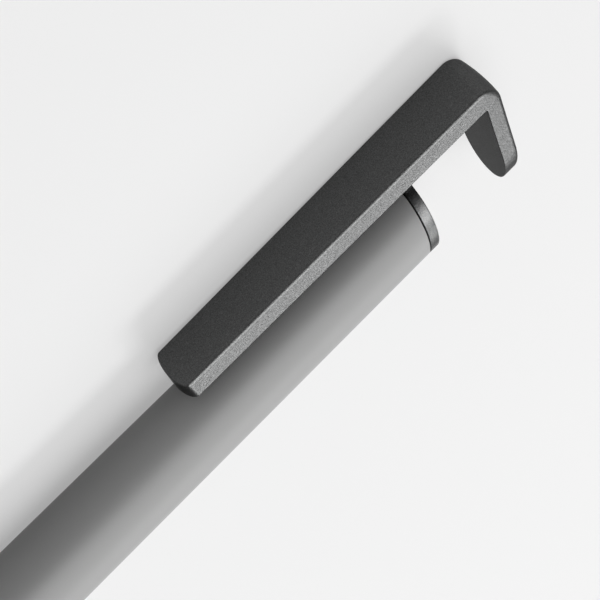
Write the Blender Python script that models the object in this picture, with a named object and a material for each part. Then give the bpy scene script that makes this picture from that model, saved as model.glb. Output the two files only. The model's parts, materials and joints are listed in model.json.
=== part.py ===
"""Twist-action ballpoint pen whose clip runs on past the barrel's end and hooks over to stand a phone.

Lengths are metres and angles degrees. The pieces are modelled along X, tip at -X, with the clip on top.
Stations along X are measured from the front face of the upper barrel, positive towards the rear.
The pen is then rolled over to lie as it does on a table, on its barrel and a corner of the clip's bar.
"""

import math

import bmesh
import bpy

# Clearances
RUN_GAP = 0.0003
FIT_GAP = 0.00015
SEAM_GAP = 0.00015

# Upper barrel
UPPER_LENGTH = 0.06879
BARREL_WIDEST_RADIUS = 0.00563
BARREL_REAR_RADIUS = 0.00516
SHOULDER_LENGTH = 0.0012
SHOULDER_DROP = 0.00078
SHOULDER_EASE = 2.0
END_SLANT = 17.0
BARREL_EDGE_ROUND = 0.00008

# Stand clip: bar, hooked lip, end ring and spigot
END_RING_WIDTH = 0.00142
RING_EDGE_ROUND = 0.00015
CLIP_GAP = 0.00218
ARM_THICKNESS = 0.00265
LIP_THICKNESS = 0.0023
ARM_FORWARD = 0.03396
ARM_RISE = 0.58
ARM_FREE_WIDTH = 0.00776
ARM_HOOK_WIDTH = 0.00862
FREE_END_ROUND = 0.0011
FREE_END_DRAFT = 0.0003
PHONE_SLOT = 0.01168
LIP_SLANT = 19.0
LIP_INSET = 0.00028
BEND_RADIUS = 0.00215
INNER_BEND_RADIUS = 0.00015
HOOK_CROWN = 0.00032
CLIP_EDGE_ROUND = 0.0002
NECK_FOOT_WIDTH = 0.0034
NECK_HEAD_WIDTH = 0.0070
NECK_INSET = 0.00008
NECK_SINK = 0.0010
NUB_LENGTH = 0.0040
NUB_WIDTH = 0.0026
NUB_FROM_END = 0.0036
SPIGOT_LENGTH = 0.0061

# Clip fastening inside the barrel
LEDGE_WIDTH = 0.0006
END_PLUG_LENGTH = 0.0030
SCREW_RADIUS = 0.0010
SCREW_HEAD_RADIUS = 0.0019
SCREW_HEAD_LENGTH = 0.0011
SCREW_HEAD_ROUND = 0.0004
SCREW_END_WALL = 0.0020

# Twist mechanism
TWIST_RANGE = 180.0
TRAVEL = 0.0050
PIN_RADIUS = 0.00075
GUIDE_WALL = 0.0009
GUIDE_TAIL = 0.0013
GUIDE_SPIGOT_LENGTH = 0.0060
CAM_WALL = 0.0008
CAM_LAND = 0.0022
RETAINER_THICKNESS = 0.0008
RETAINER_GRIP = 0.00025
RETAINER_WIDTH = 0.00095
MECHANISM_END_GAP = 0.0010
PLUNGER_TAIL = 0.0036
PLUNGER_NOSE = 0.0067
PLUNGER_ROUND = 0.0003
BUSH_WALL = 0.0005
BUSH_LENGTH = 0.0062
BUSH_INSET = 0.0006
COUPLING_WALL = 0.0006
COUPLING_DEPTH = 0.0090
COUPLING_TAIL = 0.0030
FRICTION_RING_RADIUS = 0.00045

# Lower half
CENTER_RING_WIDTH = 0.0013
CENTER_RING_RADIUS = 0.00465
LOWER_LENGTH = 0.0362
LOWER_REAR_RADIUS = 0.00482
LOWER_FRONT_RADIUS = 0.00435
LOWER_BORE_RADIUS = 0.0028
LOWER_EDGE_ROUND = 0.0004
NOSE_LENGTH = 0.0200
NOSE_STEP = 0.00008
NOSE_MOUTH_WALL = 0.0004
NOSE_LAND = 0.0075
NOSE_SPIGOT_LENGTH = 0.0050
NOSE_FULLNESS = 1.6

# Refill
REFILL_RADIUS = 0.0017
REFILL_WALL = 0.00035
TIP_RETRACTION = 0.0018
TIP_STEM_RADIUS = 0.00095
TIP_CONE_LENGTH = 0.0028
TIP_FLANGE = 0.0008
TIP_PLUG_LENGTH = 0.0035
BALL_RADIUS = 0.0005
BALL_PLAY = 0.00008
SOCKET_RIM = 0.0002
PLUG_CAP = 0.0009
PLUG_LENGTH = 0.0040
FOLLOWER_LENGTH = 0.0027
EMPTY_LENGTH = 0.0070
SPRING_WIRE_RADIUS = 0.0002
SPRING_TURNS = 6
SPRING_SQUEEZED = 0.0031
SPRING_END_GAP = 0.0001

# Mesh fineness
OUTER_SIDES = 48
INNER_SIDES = 28
CLIP_COLUMNS = 20
ARM_ROWS = (0.06, 0.5)
BEND_STEPS = 6
LIP_ROWS = (0.35, 0.85)
SHOULDER_STEPS = 4
NOSE_STEPS = 8
SLOT_STEPS = 24
PIN_SIDES = 16
NUB_SIDES = 20
FRICTION_RING_STEPS = 10
SPRING_STEPS = 10
SHARP_ANGLE = 32.0
MERGE_DISTANCE = 1e-7


def tangent(degrees):
    return math.tan(math.radians(degrees))


# Radii that follow from the refill outwards to the barrel's bore
GUIDE_INNER = REFILL_RADIUS + RUN_GAP
GUIDE_OUTER = GUIDE_INNER + GUIDE_WALL
CAM_INNER = GUIDE_OUTER + RUN_GAP
CAM_OUTER = CAM_INNER + CAM_WALL
UPPER_BORE = CAM_OUTER + FIT_GAP
BUSH_OUTER = UPPER_BORE - FIT_GAP
BUSH_INNER = BUSH_OUTER - BUSH_WALL
COUPLING_OUTER = BUSH_INNER - RUN_GAP
COUPLING_INNER = COUPLING_OUTER - COUPLING_WALL
REAR_BORE = UPPER_BORE - LEDGE_WIDTH
SPIGOT_RADIUS = REAR_BORE - FIT_GAP
NOSE_HOLE = TIP_STEM_RADIUS + RUN_GAP
NOSE_BORE = REFILL_RADIUS + RUN_GAP
NOSE_MOUTH = NOSE_HOLE + NOSE_MOUTH_WALL
SLOT_HALF_WIDTH = PIN_RADIUS + RUN_GAP

# Stations from the slanted end forwards to the plunger
RING_FRONT = UPPER_LENGTH + SEAM_GAP
RING_REAR = RING_FRONT + END_RING_WIDTH
SPIGOT_FRONT = RING_FRONT - SPIGOT_LENGTH
SCREW_REAR = RING_FRONT - SCREW_END_WALL
LEDGE = SPIGOT_FRONT - FIT_GAP
PLUG_REAR = LEDGE - FIT_GAP
PLUG_FRONT = PLUG_REAR - END_PLUG_LENGTH
HEAD_REAR = PLUG_FRONT - FIT_GAP
HEAD_FRONT = HEAD_REAR - SCREW_HEAD_LENGTH
GUIDE_REAR = HEAD_FRONT - MECHANISM_END_GAP
RETAINER_REAR = GUIDE_REAR - GUIDE_TAIL
RETAINER_FRONT = RETAINER_REAR - RETAINER_THICKNESS
CAM_REAR = RETAINER_FRONT - RUN_GAP
CAM_MIDDLE_RADIUS = (CAM_INNER + CAM_OUTER) / 2
CAM_PITCH = TRAVEL / math.radians(TWIST_RANGE)
SLOT_ANGLE = math.asin(SLOT_HALF_WIDTH / CAM_INNER)
SLOT_HALF_LENGTH = SLOT_HALF_WIDTH * math.hypot(1, CAM_PITCH / CAM_MIDDLE_RADIUS)
PIN_STATION = CAM_REAR - CAM_LAND - SLOT_HALF_LENGTH - CAM_PITCH * SLOT_ANGLE
CAM_FRONT = PIN_STATION - TRAVEL - SLOT_HALF_LENGTH - CAM_PITCH * SLOT_ANGLE - CAM_LAND
PLUNGER_FRONT = PIN_STATION - PLUNGER_NOSE
REFILL_REAR = PLUNGER_FRONT - FIT_GAP

# Stations from the parting plane forwards to the tip
RING_BACK_FACE = -RUN_GAP
RING_FRONT_FACE = RING_BACK_FACE - CENTER_RING_WIDTH
LOWER_REAR = RING_FRONT_FACE - FIT_GAP
LOWER_FRONT = LOWER_REAR - LOWER_LENGTH
NOSE_REAR = LOWER_FRONT - FIT_GAP
NOSE_FRONT = NOSE_REAR - NOSE_LENGTH
SPRING_SEAT = NOSE_FRONT + NOSE_LAND
BALL_STATION = NOSE_FRONT + TIP_RETRACTION + BALL_RADIUS
TIP_FLANGE_FRONT = SPRING_SEAT + TRAVEL + SPRING_SQUEEZED
TUBE_FRONT = TIP_FLANGE_FRONT + TIP_FLANGE + FIT_GAP
TUBE_REAR = REFILL_REAR - PLUG_CAP - FIT_GAP
TUBE_INNER = REFILL_RADIUS - REFILL_WALL
REFILL_CORE = TUBE_INNER - FIT_GAP

# Stations and sizes of the coupling between the halves
BUSH_REAR = BUSH_INSET + BUSH_LENGTH
COUPLING_FRONT = RING_FRONT_FACE - COUPLING_DEPTH
COUPLING_REAR = BUSH_REAR + COUPLING_TAIL
FRICTION_STATION = (BUSH_REAR + COUPLING_REAR) / 2
FRICTION_OUTER = UPPER_BORE - FIT_GAP
FRICTION_INNER = FRICTION_OUTER - 2 * FRICTION_RING_RADIUS

# Clip lines in the XZ plane, as distances along the bar's and the lip's outward normals
ARM_TOP = BARREL_REAR_RADIUS + CLIP_GAP + ARM_THICKNESS
FREE_END = UPPER_LENGTH - ARM_FORWARD
LIP_RADIUS = BARREL_REAR_RADIUS - LIP_INSET
ARM_NORMAL = (-math.sin(math.radians(ARM_RISE)), math.cos(math.radians(ARM_RISE)))
LIP_NORMAL = (math.cos(math.radians(LIP_SLANT)), -math.sin(math.radians(LIP_SLANT)))
ARM_OUTSIDE = ARM_NORMAL[0] * UPPER_LENGTH + ARM_NORMAL[1] * ARM_TOP
ARM_INSIDE = ARM_OUTSIDE - ARM_THICKNESS


def on_arm(station, distance):
    """Height of the line at this distance along the bar's normal."""
    return (distance - ARM_NORMAL[0] * station) / ARM_NORMAL[1]


def on_lip(height, distance):
    """Station of the line at this distance along the lip's normal."""
    return (distance - LIP_NORMAL[1] * height) / LIP_NORMAL[0]


def meeting(arm_distance, lip_distance):
    """Point where a line along the bar meets a line along the lip."""
    turn = ARM_NORMAL[0] * LIP_NORMAL[1] - ARM_NORMAL[1] * LIP_NORMAL[0]
    station = (arm_distance * LIP_NORMAL[1] - lip_distance * ARM_NORMAL[1]) / turn
    height = (ARM_NORMAL[0] * lip_distance - LIP_NORMAL[0] * arm_distance) / turn
    return station, height


NECK_TOP = on_arm(RING_REAR, ARM_INSIDE)
INNER_CORNER = RING_REAR + NECK_TOP * tangent(END_SLANT) + PHONE_SLOT
CORNER_HEIGHT = on_arm(INNER_CORNER, ARM_INSIDE)
LIP_INSIDE = LIP_NORMAL[0] * INNER_CORNER + LIP_NORMAL[1] * CORNER_HEIGHT
LIP_OUTSIDE = LIP_INSIDE + LIP_THICKNESS
BEND_CENTER = meeting(ARM_OUTSIDE - BEND_RADIUS, LIP_OUTSIDE - BEND_RADIUS)
INNER_BEND_CENTER = meeting(ARM_INSIDE - INNER_BEND_RADIUS, LIP_INSIDE - INNER_BEND_RADIUS)
HOOK_END = BEND_CENTER[0] + BEND_RADIUS + HOOK_CROWN

# The roll that brings the bar's corner by the hook down to the surface that the barrel lies on
CORNER_SIDE = ARM_HOOK_WIDTH / 2 - CLIP_EDGE_ROUND
CORNER_TOP = on_arm(BEND_CENTER[0] + BEND_RADIUS * ARM_NORMAL[0], ARM_OUTSIDE) - CLIP_EDGE_ROUND
CORNER_DROP = (BARREL_WIDEST_RADIUS - CLIP_EDGE_ROUND) / math.hypot(CORNER_SIDE, CORNER_TOP)
REST_ROLL = math.acos(-CORNER_DROP) - math.atan2(CORNER_SIDE, CORNER_TOP)

# The origin is under the middle of the pen, on the surface it lies on
BAR_REACH = CORNER_TOP * math.sin(REST_ROLL) - CORNER_SIDE * math.cos(REST_ROLL) + CLIP_EDGE_ROUND
ORIGIN_STATION = (NOSE_FRONT + HOOK_END) / 2
AXIS_SIDE = (BARREL_WIDEST_RADIUS - BAR_REACH) / 2
AXIS_HEIGHT = BARREL_WIDEST_RADIUS


def make_material(name, colour, roughness, metallic):
    material = bpy.data.materials.new(name)
    material.use_nodes = True
    shader = material.node_tree.nodes["Principled BSDF"]
    shader.inputs["Base Color"].default_value = (*colour, 1.0)
    shader.inputs["Roughness"].default_value = roughness
    shader.inputs["Metallic"].default_value = metallic
    return material


def lay_down(piece, station=0.0):
    """Put a piece's origin on the axis of the lying pen at the station, and roll the piece with the pen."""
    piece.location = (station - ORIGIN_STATION, AXIS_SIDE, AXIS_HEIGHT)
    piece.rotation_euler = (-REST_ROLL, 0.0, 0.0)
    bpy.context.collection.objects.link(piece)
    return piece


def make_object(name, mesh_builder, material, station=0.0):
    """Turn a bmesh into an object whose origin lies on the pen's axis at the station."""
    mesh = bpy.data.meshes.new(name)
    bmesh.ops.recalc_face_normals(mesh_builder, faces=mesh_builder.faces)
    mesh_builder.to_mesh(mesh)
    mesh_builder.free()
    mesh.shade_smooth()
    mesh.set_sharp_from_angle(angle=math.radians(SHARP_ANGLE))
    if material:
        mesh.materials.append(material)
    return lay_down(bpy.data.objects.new(name, mesh), station)


def as_cutter(piece):
    piece.hide_render = True
    piece.display_type = "WIRE"
    return piece


def combine(piece, other, operation):
    modifier = piece.modifiers.new(operation.lower() + "_" + other.name, "BOOLEAN")
    modifier.operation = operation
    modifier.solver = "EXACT"
    modifier.object = as_cutter(other)


def rounded(points, steps=3):
    """Profile points (station, radius[, corner round]) with each rounded corner replaced by a curve."""
    outline = []
    for index, point in enumerate(points):
        corner = point[:2]
        if len(point) == 2:
            outline.append(corner)
            continue
        ends = []
        for neighbour in (points[index - 1], points[(index + 1) % len(points)]):
            run = math.dist(corner, neighbour[:2])
            share = min(point[2] / run, 0.45)
            ends.append([a + (b - a) * share for a, b in zip(corner, neighbour)])
        for step in range(steps + 1):
            t = step / steps
            weights = ((1 - t) ** 2, 2 * t * (1 - t), t * t)
            parts = zip(ends[0], corner, ends[1])
            outline.append(tuple(sum(w * p for w, p in zip(weights, part)) for part in parts))
    return outline


def turned_mesh(points, sides, slant_from=None):
    """Spin a profile round the X axis. Stations past slant_from are sheared to the end's slant."""
    builder = bmesh.new()
    outline = rounded(points)
    verts = [builder.verts.new((x, 0.0, r)) for x, r in outline]
    pairs = list(zip(verts, verts[1:]))
    if min(r for _, r in outline) > 0:
        pairs.append((verts[-1], verts[0]))
    edges = [builder.edges.new(pair) for pair in pairs]
    bmesh.ops.spin(
        builder, geom=verts + edges, cent=(0, 0, 0), axis=(1, 0, 0),
        angle=math.tau, steps=sides, use_merge=True,
    )
    bmesh.ops.remove_doubles(builder, verts=builder.verts, dist=MERGE_DISTANCE)
    if slant_from is not None:
        for vert in builder.verts:
            if vert.co.x >= slant_from:
                vert.co.x += tangent(END_SLANT) * vert.co.z
    return builder


def turned(name, points, material, sides=INNER_SIDES, slant_from=None):
    return make_object(name, turned_mesh(points, sides, slant_from), material)


def barrel_radius(station):
    """Outer radius of the slightly conical upper barrel."""
    share = (station - SHOULDER_LENGTH) / (UPPER_LENGTH - SHOULDER_LENGTH)
    return BARREL_WIDEST_RADIUS + (BARREL_REAR_RADIUS - BARREL_WIDEST_RADIUS) * share


def shoulder_curve():
    """Points of the curve that brings the barrel in towards its front face, from the front to the rear."""
    points = []
    for step in range(SHOULDER_STEPS - 1, -1, -1):
        share = step / SHOULDER_STEPS
        drop = SHOULDER_DROP * share ** SHOULDER_EASE
        points.append((SHOULDER_LENGTH * (1 - share), BARREL_WIDEST_RADIUS - drop))
    return points


def build_upper_barrel(material):
    points = [
        (0.0, UPPER_BORE),
        (0.0, BARREL_WIDEST_RADIUS - SHOULDER_DROP, BARREL_EDGE_ROUND),
        *shoulder_curve(),
        (UPPER_LENGTH, BARREL_REAR_RADIUS, BARREL_EDGE_ROUND),
        (UPPER_LENGTH, REAR_BORE),
        (LEDGE, REAR_BORE),
        (LEDGE, UPPER_BORE),
    ]
    slanted = UPPER_LENGTH - 2 * BARREL_EDGE_ROUND
    return turned("upper_barrel", points, material, OUTER_SIDES, slanted)


def clip_rows():
    """Cross rows of the clip from its free end to the lip's edge, as columns of (outer, inner) points."""
    columns = [math.pi * (j / CLIP_COLUMNS - 0.5) for j in range(CLIP_COLUMNS + 1)]
    arm_end = BEND_CENTER[0] + BEND_RADIUS * ARM_NORMAL[0]
    root = FREE_END + FREE_END_ROUND

    def half_width(station):
        share = min((station - root) / (arm_end - root), 1.0)
        return (ARM_FREE_WIDTH + (ARM_HOOK_WIDTH - ARM_FREE_WIDTH) * share) / 2

    free_end = []
    for angle in columns:
        x = root - FREE_END_ROUND * math.cos(angle)
        y = half_width(root) * math.sin(angle)
        inner_x = x - FREE_END_DRAFT * math.cos(angle)
        free_end.append(((x, y, on_arm(x, ARM_OUTSIDE)), (inner_x, y, on_arm(inner_x, ARM_INSIDE))))
    rows = [free_end]

    def straight_row(outer, inner, half, crown=0.0):
        row = []
        for angle in columns:
            y = half * math.sin(angle)
            bulge = crown * math.cos(angle) ** 2
            row.append(((outer[0] + bulge, y, outer[1]), (inner[0], y, inner[1])))
        rows.append(row)

    inner_arm_end = INNER_BEND_CENTER[0] + INNER_BEND_RADIUS * ARM_NORMAL[0]
    for share in ARM_ROWS:
        x = root + (inner_arm_end - root) * share
        straight_row((x, on_arm(x, ARM_OUTSIDE)), (x, on_arm(x, ARM_INSIDE)), half_width(x))

    angles = [90 + ARM_RISE - (90 + ARM_RISE) * k / BEND_STEPS for k in range(BEND_STEPS + 1)]
    lip_steps = max(2, BEND_STEPS // 3)
    angles += [-LIP_SLANT * k / lip_steps for k in range(1, lip_steps + 1)]
    for degrees in angles:
        angle = math.radians(degrees)
        way = (math.cos(angle), math.sin(angle))
        outer = [c + BEND_RADIUS * w for c, w in zip(BEND_CENTER, way)]
        inner = [c + INNER_BEND_RADIUS * w for c, w in zip(INNER_BEND_CENTER, way)]
        straight_row(outer, inner, ARM_HOOK_WIDTH / 2, HOOK_CROWN * max(way[0], 0.0) ** 2)

    lip_start = BEND_CENTER[1] + BEND_RADIUS * LIP_NORMAL[1]
    for share in LIP_ROWS:
        height = lip_start * (1 - share)
        half = ARM_HOOK_WIDTH / 2 + (LIP_RADIUS - ARM_HOOK_WIDTH / 2) * share
        crown = HOOK_CROWN * (1 - share)
        points = [(on_lip(height, distance), height) for distance in (LIP_OUTSIDE, LIP_INSIDE)]
        straight_row(points[0], points[1], half, crown)

    lip_edge = []
    for angle in columns:
        y = LIP_RADIUS * math.sin(angle)
        height = -LIP_RADIUS * math.cos(angle)
        sides = [(on_lip(height, distance), y, height) for distance in (LIP_OUTSIDE, LIP_INSIDE)]
        lip_edge.append(tuple(sides))
    rows.append(lip_edge)
    return rows


def clip_mesh():
    """Closed plate along the clip's rows, with its rim rounded."""
    builder = bmesh.new()
    rows = [[[builder.verts.new(p) for p in pair] for pair in row] for row in clip_rows()]
    last = CLIP_COLUMNS
    rim = set()
    for side in (0, 1):
        for near, far in zip(rows, rows[1:]):
            for j in range(last):
                corners = (near[j], near[j + 1], far[j + 1], far[j])
                builder.faces.new([corner[side] for corner in corners])
    border = [row[0] for row in rows] + rows[-1][1:last]
    border += [row[last] for row in reversed(rows)] + rows[0][last - 1:0:-1]
    for here, after in zip(border, border[1:] + border[:1]):
        face = builder.faces.new((here[0], after[0], after[1], here[1]))
        for edge in face.edges:
            if set(edge.verts) in ({here[0], after[0]}, {here[1], after[1]}):
                rim.add(edge)
    bmesh.ops.recalc_face_normals(builder, faces=builder.faces)
    bmesh.ops.bevel(
        builder, geom=list(rim), offset=CLIP_EDGE_ROUND, offset_type="OFFSET", segments=2,
        profile=0.5, affect="EDGES", clamp_overlap=True, material=-1,
    )
    return builder


def neck_mesh():
    """Web between the end ring and the bar, in the ring's slant and wider towards the bar."""
    builder = bmesh.new()
    foot = BARREL_REAR_RADIUS - NECK_SINK
    head = NECK_TOP + ARM_THICKNESS / 2
    levels = []
    for height, width in ((foot, NECK_FOOT_WIDTH), (head, NECK_HEAD_WIDTH)):
        lean = tangent(END_SLANT) * height
        front = RING_FRONT + NECK_INSET + lean
        rear = RING_REAR - NECK_INSET + lean
        corners = ((front, -width / 2), (rear, -width / 2), (rear, width / 2), (front, width / 2))
        levels.append([builder.verts.new((x, y, height)) for x, y in corners])
    low, high = levels
    builder.faces.new(low)
    builder.faces.new(high)
    for k in range(4):
        after = (k + 1) % 4
        builder.faces.new((low[k], low[after], high[after], high[k]))
    bmesh.ops.recalc_face_normals(builder, faces=builder.faces)
    return builder


def nub_mesh():
    """Rounded rib under the bar's free end that holds a pocket's edge."""
    builder = bmesh.new()
    bmesh.ops.create_uvsphere(builder, u_segments=NUB_SIDES, v_segments=NUB_SIDES // 2, radius=0.5)
    station = FREE_END + NUB_FROM_END
    base = on_arm(station, ARM_INSIDE)
    reach = base - barrel_radius(station) - RUN_GAP
    for vert in builder.verts:
        x, y, z = vert.co
        vert.co = (station + x * NUB_LENGTH, y * NUB_WIDTH, base + 2 * z * reach)
    return builder


def build_stand_clip(material):
    clip = make_object("stand_clip", clip_mesh(), material)
    ring_profile = [
        (RING_REAR, 0.0),
        (RING_REAR, BARREL_REAR_RADIUS, RING_EDGE_ROUND),
        (RING_FRONT, BARREL_REAR_RADIUS, BARREL_EDGE_ROUND),
        (RING_FRONT, SPIGOT_RADIUS),
        (SPIGOT_FRONT, SPIGOT_RADIUS),
        (SPIGOT_FRONT, SCREW_RADIUS + FIT_GAP),
        (SCREW_REAR + RUN_GAP, SCREW_RADIUS + FIT_GAP),
        (SCREW_REAR + RUN_GAP, 0.0),
    ]
    slanted = RING_FRONT - FIT_GAP
    combine(clip, turned("end_ring", ring_profile, material, OUTER_SIDES, slanted), "UNION")
    combine(clip, make_object("neck", neck_mesh(), material), "UNION")
    combine(clip, make_object("nub", nub_mesh(), material), "UNION")
    return clip


def tube_points(front, rear, inner, outer):
    return [(front, inner), (front, outer), (rear, outer), (rear, inner)]


def build_clip_fastening(plug_material, screw_material):
    inner = SCREW_RADIUS + FIT_GAP
    plug = tube_points(PLUG_FRONT, PLUG_REAR, inner, UPPER_BORE - FIT_GAP)
    turned("end_plug", plug, plug_material)
    screw = [
        (HEAD_FRONT, 0.0),
        (HEAD_FRONT, SCREW_HEAD_RADIUS, SCREW_HEAD_ROUND),
        (HEAD_REAR, SCREW_HEAD_RADIUS),
        (HEAD_REAR, SCREW_RADIUS),
        (SCREW_REAR, SCREW_RADIUS),
        (SCREW_REAR, 0.0),
    ]
    turned("clip_screw", screw, screw_material)


def helical_slot(name, start_angle):
    """Cutter for the path of one end of the pin as the lower half twists."""
    builder = bmesh.new()
    inside = CAM_INNER - RUN_GAP
    outside = CAM_OUTER + RUN_GAP
    span = math.radians(TWIST_RANGE) + 2 * SLOT_ANGLE
    sections = []
    for step in range(SLOT_STEPS + 1):
        turn = span * step / SLOT_STEPS - SLOT_ANGLE
        middle = PIN_STATION - CAM_PITCH * turn
        angle = start_angle + turn
        section = []
        for side, radius in ((-1, inside), (1, inside), (1, outside), (-1, outside)):
            x = middle + side * SLOT_HALF_LENGTH
            place = (x, -radius * math.sin(angle), radius * math.cos(angle))
            section.append(builder.verts.new(place))
        sections.append(section)
    builder.faces.new(sections[0])
    builder.faces.new(sections[-1])
    for near, far in zip(sections, sections[1:]):
        for k in range(4):
            after = (k + 1) % 4
            builder.faces.new((near[k], near[after], far[after], far[k]))
    return make_object(name, builder, None)


def build_cam_sleeve(material):
    sleeve = turned("cam_sleeve", tube_points(CAM_FRONT, CAM_REAR, CAM_INNER, CAM_OUTER), material)
    for index in range(2):
        combine(sleeve, helical_slot(f"cam_slot_{index + 1}", index * math.pi), "DIFFERENCE")


def build_guide_sleeve(material):
    groove_bottom = GUIDE_OUTER - RETAINER_GRIP - FIT_GAP
    shoulder = COUPLING_REAR + FIT_GAP
    points = [
        (COUPLING_REAR - GUIDE_SPIGOT_LENGTH, GUIDE_INNER),
        (COUPLING_REAR - GUIDE_SPIGOT_LENGTH, COUPLING_INNER - FIT_GAP),
        (shoulder, COUPLING_INNER - FIT_GAP),
        (shoulder, GUIDE_OUTER),
        (RETAINER_FRONT - FIT_GAP, GUIDE_OUTER),
        (RETAINER_FRONT - FIT_GAP, groove_bottom),
        (RETAINER_REAR + FIT_GAP, groove_bottom),
        (RETAINER_REAR + FIT_GAP, GUIDE_OUTER),
        (GUIDE_REAR, GUIDE_OUTER),
        (GUIDE_REAR, GUIDE_INNER),
    ]
    sleeve = turned("guide_sleeve", points, material)
    slot = bmesh.new()
    bmesh.ops.create_cube(slot, size=1.0)
    length = TRAVEL + 2 * SLOT_HALF_WIDTH
    middle = PIN_STATION - TRAVEL / 2
    for vert in slot.verts:
        x, y, z = vert.co
        vert.co = (middle + x * length, 2 * y * SLOT_HALF_WIDTH, 3 * z * GUIDE_OUTER)
    combine(sleeve, make_object("guide_slot", slot, None), "DIFFERENCE")


def build_retaining_ring(material):
    inner = GUIDE_OUTER - RETAINER_GRIP
    ring = tube_points(RETAINER_FRONT, RETAINER_REAR, inner, inner + RETAINER_WIDTH)
    turned("retaining_ring", ring, material)


def cross_cylinder(radius, half_length):
    """Cylinder along Z through the pin's station."""
    builder = bmesh.new()
    bmesh.ops.create_cone(
        builder, cap_ends=True, segments=PIN_SIDES, radius1=radius, radius2=radius, depth=2 * half_length,
    )
    bmesh.ops.translate(builder, verts=builder.verts, vec=(PIN_STATION, 0, 0))
    return builder


def build_plunger(plunger_material, pin_material):
    points = [
        (PLUNGER_FRONT, 0.0),
        (PLUNGER_FRONT, REFILL_RADIUS, PLUNGER_ROUND),
        (PIN_STATION + PLUNGER_TAIL, REFILL_RADIUS, PLUNGER_ROUND),
        (PIN_STATION + PLUNGER_TAIL, 0.0),
    ]
    plunger = turned("plunger", points, plunger_material)
    hole = make_object("pin_hole", cross_cylinder(PIN_RADIUS + FIT_GAP, 2 * REFILL_RADIUS), None)
    combine(plunger, hole, "DIFFERENCE")
    make_object("drive_pin", cross_cylinder(PIN_RADIUS, CAM_OUTER - FIT_GAP), pin_material)


def build_coupling(bush_material, sleeve_material, ring_material):
    bush = tube_points(BUSH_INSET, BUSH_REAR, BUSH_INNER, BUSH_OUTER)
    turned("twist_bush", bush, bush_material)
    groove_front = FRICTION_STATION - FRICTION_RING_RADIUS - FIT_GAP
    groove_rear = FRICTION_STATION + FRICTION_RING_RADIUS + FIT_GAP
    groove_bottom = FRICTION_INNER - FIT_GAP
    sleeve = [
        (COUPLING_FRONT, COUPLING_INNER),
        (COUPLING_FRONT, COUPLING_OUTER),
        (groove_front, COUPLING_OUTER),
        (groove_front, groove_bottom),
        (groove_rear, groove_bottom),
        (groove_rear, COUPLING_OUTER),
        (COUPLING_REAR, COUPLING_OUTER),
        (COUPLING_REAR, COUPLING_INNER),
    ]
    turned("coupling_sleeve", sleeve, sleeve_material)
    middle = (FRICTION_INNER + FRICTION_OUTER) / 2
    circle = []
    for step in range(FRICTION_RING_STEPS):
        angle = math.tau * step / FRICTION_RING_STEPS
        x = FRICTION_STATION + FRICTION_RING_RADIUS * math.cos(angle)
        circle.append((x, middle + FRICTION_RING_RADIUS * math.sin(angle)))
    turned("friction_ring", circle, ring_material)


def build_lower_barrel(barrel_material, ring_material):
    sleeve_hole = COUPLING_OUTER + FIT_GAP
    ring = [
        (RING_FRONT_FACE, sleeve_hole),
        (RING_FRONT_FACE, CENTER_RING_RADIUS, BARREL_EDGE_ROUND),
        (RING_BACK_FACE, CENTER_RING_RADIUS, BARREL_EDGE_ROUND),
        (RING_BACK_FACE, sleeve_hole),
    ]
    turned("center_ring", ring, ring_material, OUTER_SIDES)
    step = COUPLING_FRONT - FIT_GAP
    barrel = [
        (LOWER_FRONT, LOWER_BORE_RADIUS),
        (LOWER_FRONT, LOWER_FRONT_RADIUS, BARREL_EDGE_ROUND),
        (LOWER_REAR, LOWER_REAR_RADIUS, LOWER_EDGE_ROUND),
        (LOWER_REAR, sleeve_hole),
        (step, sleeve_hole),
        (step, LOWER_BORE_RADIUS),
    ]
    turned("lower_barrel", barrel, barrel_material, OUTER_SIDES)


def build_nose_cone(material):
    rear_radius = LOWER_FRONT_RADIUS - NOSE_STEP
    spigot = LOWER_BORE_RADIUS - FIT_GAP
    points = [
        (NOSE_FRONT, NOSE_HOLE),
        (NOSE_FRONT, NOSE_MOUTH, BARREL_EDGE_ROUND),
    ]
    for step in range(NOSE_STEPS - 1, 0, -1):
        share = step / NOSE_STEPS
        radius = NOSE_MOUTH + (rear_radius - NOSE_MOUTH) * (1 - share ** NOSE_FULLNESS)
        points.append((NOSE_REAR - NOSE_LENGTH * share, radius))
    points += [
        (NOSE_REAR, rear_radius, BARREL_EDGE_ROUND),
        (NOSE_REAR, spigot),
        (NOSE_REAR + NOSE_SPIGOT_LENGTH, spigot),
        (NOSE_REAR + NOSE_SPIGOT_LENGTH, NOSE_BORE),
        (SPRING_SEAT, NOSE_BORE),
        (SPRING_SEAT, NOSE_HOLE),
    ]
    turned("nose_cone", points, material, OUTER_SIDES)


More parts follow.
